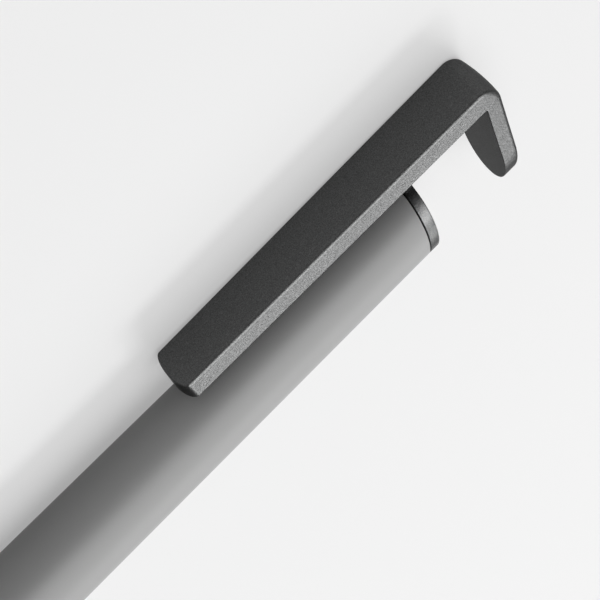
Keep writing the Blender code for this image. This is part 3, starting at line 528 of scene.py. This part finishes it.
class ClipLines:
    """The clip's straight lines in its middle plane, as distances along the bar's and the lip's normals."""

    def __init__(self, clip, barrel):
        self.clip = clip
        self.arm_normal = (-math.sin(clip.bar_rise), math.cos(clip.bar_rise))
        self.lip_normal = (math.cos(clip.lip_slant), -math.sin(clip.lip_slant))
        self.arm_outside = self.arm_normal[0] * barrel.upper_length + self.arm_normal[1] * clip.bar_top
        self.arm_inside = self.arm_outside - clip.bar_thickness
        self.ring_rear = clip.ring_front + clip.ring_width
        self.neck_top = self.on_arm(self.ring_rear, self.arm_inside)
        corner = self.ring_rear + self.neck_top * math.tan(barrel.end_slant) + clip.slot
        corner_height = self.on_arm(corner, self.arm_inside)
        self.lip_inside = self.lip_normal[0] * corner + self.lip_normal[1] * corner_height
        self.lip_outside = self.lip_inside + clip.lip_thickness
        self.bend = self.meeting(self.arm_outside - clip.bend_radius, self.lip_outside - clip.bend_radius)
        inner = clip.inner_bend_radius
        self.inner_bend = self.meeting(self.arm_inside - inner, self.lip_inside - inner)
        self.free_end = barrel.upper_length - clip.bar_forward
        self.bend_run = self.bend[0] + clip.bend_radius * self.arm_normal[0] - self.free_end
        self.lip_run = self.bend_run + clip.bend_radius * (math.pi / 2 + clip.bar_rise + clip.lip_slant)
        self.axis_run = self.lip_run + self.bend[1] + clip.bend_radius * self.lip_normal[1]

    def on_arm(self, station, distance):
        """Height of the line at this distance along the bar's normal."""
        return (distance - self.arm_normal[0] * station) / self.arm_normal[1]

    def on_lip(self, height, distance):
        """Station of the line at this distance along the lip's normal."""
        return (distance - self.lip_normal[1] * height) / self.lip_normal[0]

    def meeting(self, arm_distance, lip_distance):
        """Point where a line along the bar meets a line along the lip."""
        (arm_x, arm_z), (lip_x, lip_z) = self.arm_normal, self.lip_normal
        turn = arm_x * lip_z - arm_z * lip_x
        station = (arm_distance * lip_z - lip_distance * arm_z) / turn
        return station, (arm_x * lip_distance - lip_x * arm_distance) / turn

    def cut_runs(self):
        """Runs at which the pattern is cut across before it is folded."""
        bars, bends, lips = self.clip.bar_parts, self.clip.bend_steps, self.clip.lip_parts
        bar = [self.bend_run * step / bars for step in range(1, bars)]
        bend = [self.bend_run + (self.lip_run - self.bend_run) * step / bends for step in range(bends + 1)]
        lip = [self.lip_run + (self.axis_run - self.lip_run) * step / lips for step in range(1, lips + 1)]
        return bar + bend + lip

    def fold(self, run, share, depth):
        """Place on the folded clip of a point on its flat pattern.

        The run is along the pattern from the free end's bow, the share is across it from -1 to 1, and the
        depth is 0 on the outer face and 1 on the inner one.
        """
        half = self.half_width(run)
        outer = self.face_point(run, self.bend, self.clip.bend_radius, self.arm_outside, self.lip_outside)
        inner = self.face_point(
            run, self.inner_bend, self.clip.inner_bend_radius, self.arm_inside, self.lip_inside,
        )
        if run > self.bend_run:
            outer.x += self.clip.crown * self.crown_share(run) * (1 - share * share)
        if run < self.clip.free_end_round:
            inner.x -= self.clip.free_end_draft * (1 - run / self.clip.free_end_round)
        point = outer.lerp(inner, depth)
        return point.x, share * half, point.y

    def face_point(self, run, bend, radius, arm_distance, lip_distance):
        """Point (station, height) of the outer or the inner face at this run."""
        arm_end = bend[0] + radius * self.arm_normal[0]
        if run <= self.bend_run:
            station = self.free_end + (arm_end - self.free_end) * run / self.bend_run
            return Vector((station, self.on_arm(station, arm_distance)))
        if run <= self.lip_run:
            top = math.pi / 2 + self.clip.bar_rise
            turn = top - (top + self.clip.lip_slant) * (run - self.bend_run) / (self.lip_run - self.bend_run)
            return Vector((bend[0] + radius * math.cos(turn), bend[1] + radius * math.sin(turn)))
        start = bend[1] + radius * self.lip_normal[1]
        height = self.axis_run - run
        if run < self.axis_run:
            height *= start / (self.axis_run - self.lip_run)
        return Vector((self.on_lip(height, lip_distance), height))

    def half_width(self, run):
        """Half the clip's width: the bar and the lip both widen evenly, and the bend keeps its width."""
        clip = self.clip
        if run <= self.bend_run:
            part = max(run - clip.free_end_round, 0.0) / (self.bend_run - clip.free_end_round)
            return (clip.free_width + (clip.hook_width - clip.free_width) * part) / 2
        part = min(max(run - self.lip_run, 0.0) / (self.axis_run - self.lip_run), 1.0)
        return clip.hook_width / 2 + (clip.lip_radius - clip.hook_width / 2) * part

    def crown_share(self, run):
        """How much of the crown there is: it swells round the bend and fades down the lip."""
        if run <= self.lip_run:
            return math.sin(math.pi / 2 * (run - self.bend_run) / (self.lip_run - self.bend_run)) ** 2
        return max(1 - (run - self.lip_run) / (self.axis_run - self.lip_run), 0.0)


def level_edges(mesh, level):
    """Edges that lie flat at this height."""
    def on_level(vert):
        return abs(vert.co.z - level) < MERGE_DISTANCE
    return [edge for edge in mesh.edges if all(on_level(vert) for vert in edge.verts)]


def clip_bar_mesh(lines):
    """The clip's flat pattern, a strip with round ends, cut out, rounded along its rims and then folded."""
    clip = lines.clip
    half = clip.hook_width / 2
    mesh = bmesh.new()
    bmesh.ops.create_circle(mesh, cap_ends=True, segments=clip.end_sides, radius=half)
    for vert in mesh.verts:
        if vert.co.x <= MERGE_DISTANCE:
            vert.co.x += clip.free_end_round
        else:
            vert.co.x = lines.axis_run + clip.lip_radius * vert.co.x / half
    lifted = bmesh.ops.extrude_face_region(mesh, geom=mesh.faces[:], use_keep_orig=True)["geom"]
    upper = [item for item in lifted if isinstance(item, bmesh.types.BMVert)]
    bmesh.ops.translate(mesh, verts=upper, vec=(0, 0, clip.bar_thickness))
    bmesh.ops.recalc_face_normals(mesh, faces=mesh.faces)
    for level, size in ((0.0, clip.outer_round), (clip.bar_thickness, clip.inner_round)):
        soften(mesh, level_edges(mesh, level), size, clip.round_steps)
    for vert in mesh.verts:
        if vert.co.x < clip.free_end_round:
            vert.co.x = clip.free_end_round * (1 + (vert.co.x - clip.free_end_round) / half)
    cuts = [(run, 0.0, (1, 0, 0)) for run in lines.cut_runs()]
    for column in range(1, clip.columns + 1):
        cuts.append((0.0, half * (2 * column / (clip.columns + 1) - 1), (0, 1, 0)))
    for x, y, way in cuts:
        geometry = mesh.verts[:] + mesh.edges[:] + mesh.faces[:]
        bmesh.ops.bisect_plane(mesh, geom=geometry, dist=MERGE_DISTANCE, plane_co=(x, y, 0), plane_no=way)
    for vert in mesh.verts:
        vert.co = lines.fold(vert.co.x, vert.co.y / half, vert.co.z / clip.bar_thickness)
    bmesh.ops.recalc_face_normals(mesh, faces=mesh.faces)
    return mesh


def end_ring_mesh(clip, barrel):
    """Slanted ring that closes the barrel's end, with the spigot that holds it there."""
    rear = clip.ring_front + clip.ring_width
    hole_end = clip.ring_front - clip.screw_wall
    corners = [
        (rear, 0.0, 0.0),
        (rear, barrel.rear_radius, clip.ring_round),
        (clip.ring_front, barrel.rear_radius, barrel.edge_round),
        (clip.ring_front, clip.spigot_radius, 0.0),
        (clip.ring_front - clip.spigot_length, clip.spigot_radius, 0.0),
        (clip.ring_front - clip.spigot_length, clip.screw_hole, 0.0),
        (hole_end, clip.screw_hole, 0.0),
        (hole_end, 0.0, 0.0),
    ]
    mesh = turned(corners, barrel.sides)
    lean_end(mesh, barrel.end_slant, clip.ring_front - barrel.edge_round)
    return mesh


def neck_mesh(lines, barrel):
    """Web between the end ring and the bar, in the ring's slant and wider towards the bar."""
    clip = lines.clip
    foot = barrel.rear_radius - clip.neck_sink
    head = lines.neck_top + clip.bar_thickness / 2
    depth = clip.ring_width - 2 * clip.neck_inset
    mesh = bmesh.new()
    bmesh.ops.create_cube(mesh, size=1.0)
    for vert in mesh.verts:
        share = vert.co.z + 0.5
        width = clip.neck_foot_width + (clip.neck_head_width - clip.neck_foot_width) * share
        x = clip.ring_front + clip.ring_width / 2 + vert.co.x * depth
        vert.co = (x, vert.co.y * width, foot + (head - foot) * share)
    lean_end(mesh, barrel.end_slant, 0.0)
    half_height = (head - foot) / 2
    upright = [edge for edge in mesh.edges if abs(edge.verts[0].co.z - edge.verts[1].co.z) > half_height]
    soften(mesh, upright, clip.neck_round, clip.neck_round_steps)
    return mesh


def nub_mesh(lines, barrel):
    """Rounded rib under the bar's free end that holds a pocket's edge."""
    clip = lines.clip
    station = lines.free_end + clip.nub_from_end
    base = lines.on_arm(station, lines.arm_inside)
    share = (station - barrel.shoulder_length) / (barrel.upper_length - barrel.shoulder_length)
    below = barrel.widest_radius + (barrel.rear_radius - barrel.widest_radius) * share
    reach = base - below - clip.nub_gap
    mesh = bmesh.new()
    bmesh.ops.create_uvsphere(mesh, u_segments=BALL_SIDES, v_segments=BALL_SIDES // 2, radius=1.0)
    bmesh.ops.scale(mesh, vec=(clip.nub_length / 2, clip.nub_width / 2, reach), verts=mesh.verts)
    bmesh.ops.translate(mesh, vec=(station, 0.0, base), verts=mesh.verts)
    return mesh


def spring_mesh(nose):
    """Coil of round wire from the nose cone's seat to the refill's shoulder."""
    inset = nose.spring_wire + nose.spring_end_gap
    front = nose.seat + inset
    radius = nose.stem_radius + nose.spring_room + nose.spring_wire
    steps = nose.spring_turns * nose.spring_steps
    climb = (nose.flange_front - inset - front) / steps
    mesh = bmesh.new()
    upright = Matrix.Translation((front, 0.0, radius)) @ Matrix.Rotation(math.pi / 2, 4, "X")
    bmesh.ops.create_circle(
        mesh, cap_ends=True, segments=nose.spring_wire_sides, radius=nose.spring_wire, matrix=upright,
    )
    bmesh.ops.spin(
        mesh, geom=mesh.verts[:] + mesh.edges[:] + mesh.faces[:], cent=(0, 0, 0), axis=(1, 0, 0),
        dvec=(climb, 0, 0), angle=math.tau * nose.spring_turns, steps=steps,
    )
    bmesh.ops.holes_fill(mesh, edges=[edge for edge in mesh.edges if edge.is_boundary])
    bmesh.ops.recalc_face_normals(mesh, faces=mesh.faces)
    return mesh


def shoulder_curve(sizes):
    """Corners of the curve that brings the barrel in towards its front face, from the front to the rear."""
    corners = []
    for step in range(sizes.shoulder_steps - 1, -1, -1):
        share = step / sizes.shoulder_steps
        drop = sizes.shoulder_drop * share ** sizes.shoulder_ease
        corners.append((sizes.shoulder_length * (1 - share), sizes.widest_radius - drop, 0.0))
    return corners


class PEN_OT_barrels(Operator):
    """Build the two lacquered barrels"""
    bl_idname = "pen.barrels"
    bl_label = "Barrels"

    def execute(self, context):
        sizes = context.scene.pen_barrel
        lacquer = finish_named("satin_lacquer", satin_lacquer, context.scene.pen_finishes)
        upper = turned([
            (0.0, sizes.upper_bore, 0.0),
            (0.0, sizes.widest_radius - sizes.shoulder_drop, sizes.edge_round),
            *shoulder_curve(sizes),
            (sizes.upper_length, sizes.rear_radius, sizes.edge_round),
            (sizes.upper_length, sizes.rear_bore, 0.0),
            (sizes.ledge, sizes.rear_bore, 0.0),
            (sizes.ledge, sizes.upper_bore, 0.0),
        ], sizes.sides)
        lean_end(upper, sizes.end_slant, sizes.upper_length - 2 * sizes.edge_round)
        dress(build_object("upper_barrel_skin", upper), lacquer, "upper", "upper_barrel")
        lower = turned([
            (sizes.lower_front, sizes.lower_bore, 0.0),
            (sizes.lower_front, sizes.lower_front_radius, sizes.edge_round),
            (sizes.lower_rear, sizes.lower_rear_radius, sizes.lower_rear_round),
            (sizes.lower_rear, sizes.coupling_hole, 0.0),
            (sizes.coupling_step, sizes.coupling_hole, 0.0),
            (sizes.coupling_step, sizes.lower_bore, 0.0),
        ], sizes.sides)
        dress(build_object("lower_barrel_skin", lower), lacquer, "lower", "lower_barrel")
        return {"FINISHED"}


class PEN_OT_stand_clip(Operator):
    """Build the clip: its bar and hooked lip, the end ring, the neck between them and the pocket nub"""
    bl_idname = "pen.stand_clip"
    bl_label = "Stand clip"

    def execute(self, context):
        clip = context.scene.pen_clip
        barrel = context.scene.pen_barrel
        grained = finish_named("grained_gun_metal", grained_gun_metal, context.scene.pen_finishes)
        fine = finish_named("fine_gun_metal", fine_gun_metal, context.scene.pen_finishes)
        lines = ClipLines(clip, barrel)
        for name, mesh, metal in (
            ("clip_bar", clip_bar_mesh(lines), grained),
            ("clip_end_ring", end_ring_mesh(clip, barrel), fine),
            ("clip_neck", neck_mesh(lines, barrel), grained),
            ("clip_pocket_nub", nub_mesh(lines, barrel), grained),
        ):
            dress(build_object(name, mesh), metal, "upper", "stand_clip")
        return {"FINISHED"}


class PEN_OT_parting_ring(Operator):
    """Build the ring between the two barrels"""
    bl_idname = "pen.parting_ring"
    bl_label = "Parting ring"

    def execute(self, context):
        sizes = context.scene.pen_barrel
        metal = finish_named("fine_gun_metal", fine_gun_metal, context.scene.pen_finishes)
        ring = turned([
            (sizes.ring_front, sizes.coupling_hole, 0.0),
            (sizes.ring_front, sizes.ring_radius, sizes.edge_round),
            (sizes.ring_rear, sizes.ring_radius, sizes.edge_round),
            (sizes.ring_rear, sizes.coupling_hole, 0.0),
        ], sizes.sides)
        dress(build_object("parting_ring", ring), metal, "lower", "center_ring")
        return {"FINISHED"}


class PEN_OT_nose_cone(Operator):
    """Build the screwed nose cone"""
    bl_idname = "pen.nose_cone"
    bl_label = "Nose cone"

    def execute(self, context):
        nose = context.scene.pen_nose
        metal = finish_named("fine_gun_metal", fine_gun_metal, context.scene.pen_finishes)
        front = nose.rear - nose.cone_length
        corners = [(front, nose.hole_radius, 0.0), (front, nose.mouth_radius, nose.edge_round)]
        for step in range(nose.steps - 1, 0, -1):
            share = step / nose.steps
            radius = nose.mouth_radius + (nose.rear_radius - nose.mouth_radius) * (1 - share ** nose.fullness)
            corners.append((nose.rear - nose.cone_length * share, radius, 0.0))
        corners += [
            (nose.rear, nose.rear_radius, nose.edge_round),
            (nose.rear, nose.spigot_radius, 0.0),
            (nose.rear + nose.spigot_length, nose.spigot_radius, 0.0),
            (nose.rear + nose.spigot_length, nose.bore_radius, 0.0),
            (nose.seat, nose.bore_radius, 0.0),
            (nose.seat, nose.hole_radius, 0.0),
        ]
        cone = turned(corners, context.scene.pen_barrel.sides)
        dress(build_object("nose_cone_skin", cone), metal, "lower", "nose_cone")
        return {"FINISHED"}


class PEN_OT_writing_tip(Operator):
    """Build the refill's writing tip and its ball"""
    bl_idname = "pen.writing_tip"
    bl_label = "Writing tip"

    def execute(self, context):
        nose = context.scene.pen_nose
        finishes = context.scene.pen_finishes
        brass = finish_named("turned_brass", turned_brass, finishes)
        steel = finish_named("drawn_steel", drawn_steel, finishes)
        tip = turned([
            (nose.ball_station + 2 * nose.socket_radius, 0.0, 0.0),
            (nose.ball_station + nose.socket_radius, nose.socket_radius, 0.0),
            (nose.ball_station, nose.socket_radius, 0.0),
            (nose.ball_station, nose.socket_radius + nose.socket_rim, 0.0),
            (nose.ball_station + nose.tip_cone, nose.stem_radius, 0.0),
            (nose.flange_front, nose.stem_radius, 0.0),
            (nose.flange_front, nose.flange_radius, 0.0),
            (nose.flange_rear, nose.flange_radius, 0.0),
            (nose.flange_rear, nose.core_radius, 0.0),
            (nose.core_rear, nose.core_radius, 0.0),
            (nose.core_rear, 0.0, 0.0),
        ], nose.tip_sides)
        dress(build_object("writing_tip", tip), brass, "refill", "refill_tip")
        ball = bmesh.new()
        bmesh.ops.create_uvsphere(
            ball, u_segments=BALL_SIDES, v_segments=BALL_SIDES // 2, radius=nose.ball_radius,
        )
        bmesh.ops.translate(ball, vec=(nose.ball_station, 0.0, 0.0), verts=ball.verts)
        dress(build_object("writing_ball_skin", ball), steel, "refill", "writing_ball")
        return {"FINISHED"}


class PEN_OT_return_spring(Operator):
    """Build the spring that pushes the refill back"""
    bl_idname = "pen.return_spring"
    bl_label = "Return spring"

    def execute(self, context):
        nose = context.scene.pen_nose
        steel = finish_named("drawn_steel", drawn_steel, context.scene.pen_finishes)
        spring = build_object("return_spring_coil", spring_mesh(nose))
        dress(spring, steel, "lower", "return_spring")
        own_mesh(spring)
        return {"FINISHED"}


class PEN_OT_inner_works(Operator):
    """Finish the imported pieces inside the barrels"""
    bl_idname = "pen.inner_works"
    bl_label = "Inner works"

    def execute(self, context):
        finishes = context.scene.pen_finishes
        steel = finish_named("drawn_steel", drawn_steel, finishes)
        brass = finish_named("turned_brass", turned_brass, finishes)
        black_plastic = moulded("black_plastic", finishes.black_plastic, roughness=0.5)
        white_plastic = moulded("white_plastic", finishes.white_plastic, roughness=0.45)
        groups = (
            (steel, ("clip_screw", "drive_pin", "retaining_ring", "refill_tube")),
            (brass, ("coupling_sleeve",)),
            (black_plastic, ("end_plug", "plunger", "refill_plug")),
            (white_plastic, ("cam_sleeve", "guide_sleeve", "twist_bush")),
            (moulded("soft_rubber", finishes.rubber, roughness=0.8), ("friction_ring",)),
            (moulded("wet_ink", finishes.ink, roughness=0.2), ("ink_column",)),
            (moulded("thick_grease", finishes.grease, roughness=0.35), ("ink_follower",)),
        )
        for material, nodes in groups:
            for node in nodes:
                slots = frame["nodes"][node].data.materials
                slots.clear()
                slots.append(material)
        return {"FINISHED"}


def floor_material(stage):
    """Pale floor that keeps the pen's shadow, softened for the eye and for reflections by an even glow."""
    material, shader, place = new_material("pale_floor")
    cloud = noise(place, scale=6.0)
    seen = shown_rays(place)
    level = (0.995 + cloud * 0.01) * (1.0 - stage.bounce_cut + seen * stage.bounce_cut)
    feed(shader, Base_Color=shade_of(place, stage.floor_grey, level))
    shader.inputs["Roughness"].default_value = 0.9
    shader.inputs["Specular IOR Level"].default_value = 0.0
    glow = place.make("ShaderNodeEmission", None, {"Color": (*stage.floor_grey, 1.0), "Strength": 1.0})
    lit = Signal(place.tree, shader.outputs[0])
    mixed = place.make("ShaderNodeMixShader", None, {"Fac": seen * stage.shadow_softening, 1: lit, 2: glow})
    place.tree.links.new(mixed.socket, place.tree.nodes["Material Output"].inputs["Surface"])
    return material


def shown_rays(signal):
    """1 for rays from the camera and for reflected and refracted ones, and 0 for those that light things."""
    seen = signal.make("ShaderNodeLightPath", output="Is Camera Ray")
    for name in ("Is Glossy Ray", "Is Transmission Ray"):
        seen = seen.maths("MAXIMUM", seen, signal.make("ShaderNodeLightPath", output=name))
    return seen


def add_lamp(name, place, aim, size, power):
    """A soft rectangular lamp at a place, facing a point."""
    data = bpy.data.lights.new(name, "AREA")
    data.shape = "RECTANGLE"
    data.size, data.size_y = size
    data.energy = power
    lamp = bpy.data.objects.new(name, data)
    lamp.location = place
    lamp.rotation_euler = (Vector(aim) - Vector(place)).to_track_quat("-Z", "Y").to_euler()
    lamp.visible_camera = False
    bpy.context.scene.collection.objects.link(lamp)


def facing(way, middle, focus):
    """How squarely a direction faces the given one, from 0 to 1, which a larger focus narrows."""
    nearness = way.make("ShaderNodeVectorMath", {"operation": "DOT_PRODUCT"}, {0: way, 1: middle}, "Value")
    return way.maths("POWER", way.maths("MAXIMUM", nearness, 0.0), focus)


def add_world(stage):
    """Grey surroundings, dim as light, paler to the eye and in reflections behind the pen and overhead."""
    world = bpy.data.worlds.new("studio")
    world.use_nodes = True
    tree = world.node_tree
    background = tree.nodes["Background"]
    background.inputs["Color"].default_value = (*stage.floor_grey, 1.0)
    way = Signal(tree).make("ShaderNodeTexCoord", output="Generated")
    overhead_way = (0.0, math.sin(stage.overhead_lean), math.cos(stage.overhead_lean))
    overhead = facing(way, overhead_way, stage.overhead_focus) * stage.overhead
    behind_way = (0.0, -math.cos(stage.behind_height), math.sin(stage.behind_height))
    behind = facing(way, behind_way, stage.behind_focus) * stage.behind
    shown = stage.backdrop - stage.ambient + overhead + behind
    strength = stage.ambient + shown_rays(way) * shown
    tree.links.new(strength.socket, background.inputs["Strength"])
    bpy.context.scene.world = world


def add_camera(stage):
    """Camera at the picture's angle, with the pen along the picture's diagonal."""
    tilt, turn = stage.camera_tilt, stage.camera_turn
    lying = LYING.to_3x3()
    along = lying @ Vector((1, 0, 0))
    across = lying @ Vector((0, -math.cos(tilt), -math.sin(tilt)))
    back = lying @ Vector((0, -math.sin(tilt), math.cos(tilt)))
    share, other = math.cos(math.pi / 4 - turn), math.sin(math.pi / 4 - turn)
    right = along * share + across * other
    up = along * other - across * share
    target = LYING @ Vector((stage.look_station, stage.look_side, stage.look_height))
    data = bpy.data.cameras.new("picture_camera")
    data.lens = stage.focal_length
    data.sensor_width = SENSOR_WIDTH
    data.clip_start = CAMERA_NEAR
    data.clip_end = CAMERA_FAR
    camera = bpy.data.objects.new("picture_camera", data)
    turned_axes = Matrix((right, up, back)).transposed().to_4x4()
    camera.matrix_world = Matrix.Translation(target + back * stage.camera_distance) @ turned_axes
    bpy.context.scene.collection.objects.link(camera)
    bpy.context.scene.camera = camera


class PEN_OT_stage(Operator):
    """Set up the floor, the lamps, the world and the camera"""
    bl_idname = "pen.stage"
    bl_label = "Stage"

    def execute(self, context):
        stage = context.scene.pen_stage
        mesh = bmesh.new()
        bmesh.ops.create_grid(mesh, x_segments=1, y_segments=1, size=stage.floor_reach)
        bmesh.ops.translate(mesh, vec=(0, 0, CAD_BOX[0].z), verts=mesh.verts)
        data = bpy.data.meshes.new("floor")
        mesh.to_mesh(data)
        mesh.free()
        data.materials.append(floor_material(stage))
        floor = bpy.data.objects.new("floor", data)
        context.scene.collection.objects.link(floor)
        for lamp in LAMPS:
            add_lamp(aim=LAMP_AIM, **lamp)
        add_world(stage)
        add_camera(stage)
        context.scene.view_settings.view_transform = "Standard"
        return {"FINISHED"}


class PEN_PT_panel(Panel):
    """Lists the pen's operators and sizes in the sidebar"""
    bl_idname = "PEN_PT_panel"
    bl_label = "Ballpoint pen with phone stand"
    bl_space_type = "VIEW_3D"
    bl_region_type = "UI"
    bl_category = "Pen"

    def draw(self, context):
        for operator in OPERATORS:
            self.layout.operator(operator.bl_idname)
        for group in GROUPS:
            sizes = getattr(context.scene, group)
            box = self.layout.box()
            for name in sizes.bl_rna.properties.keys():
                if name not in ("rna_type", "name"):
                    box.prop(sizes, name)


GROUPS = {
    "pen_barrel": PenBarrelSizes,
    "pen_clip": PenClipSizes,
    "pen_nose": PenNoseSizes,
    "pen_finishes": PenFinishes,
    "pen_stage": PenStage,
}
OPERATORS = (
    PEN_OT_barrels, PEN_OT_stand_clip, PEN_OT_parting_ring, PEN_OT_nose_cone, PEN_OT_writing_tip,
    PEN_OT_return_spring, PEN_OT_inner_works, PEN_OT_stage,
)


def register():
    for group in (*GROUPS.values(), *OPERATORS, PEN_PT_panel):
        bpy.utils.register_class(group)
    for name, group in GROUPS.items():
        setattr(bpy.types.Scene, name, PointerProperty(type=group))


def unregister():
    for name in GROUPS:
        delattr(bpy.types.Scene, name)
    for group in reversed((*GROUPS.values(), *OPERATORS, PEN_PT_panel)):
        bpy.utils.unregister_class(group)


def main():
    register()
    bpy.ops.pen.barrels()
    bpy.ops.pen.stand_clip()
    bpy.ops.pen.parting_ring()
    bpy.ops.pen.nose_cone()
    bpy.ops.pen.writing_tip()
    bpy.ops.pen.return_spring()
    bpy.ops.pen.inner_works()
    bpy.ops.pen.stage()


if __name__ == "__main__":
    main()
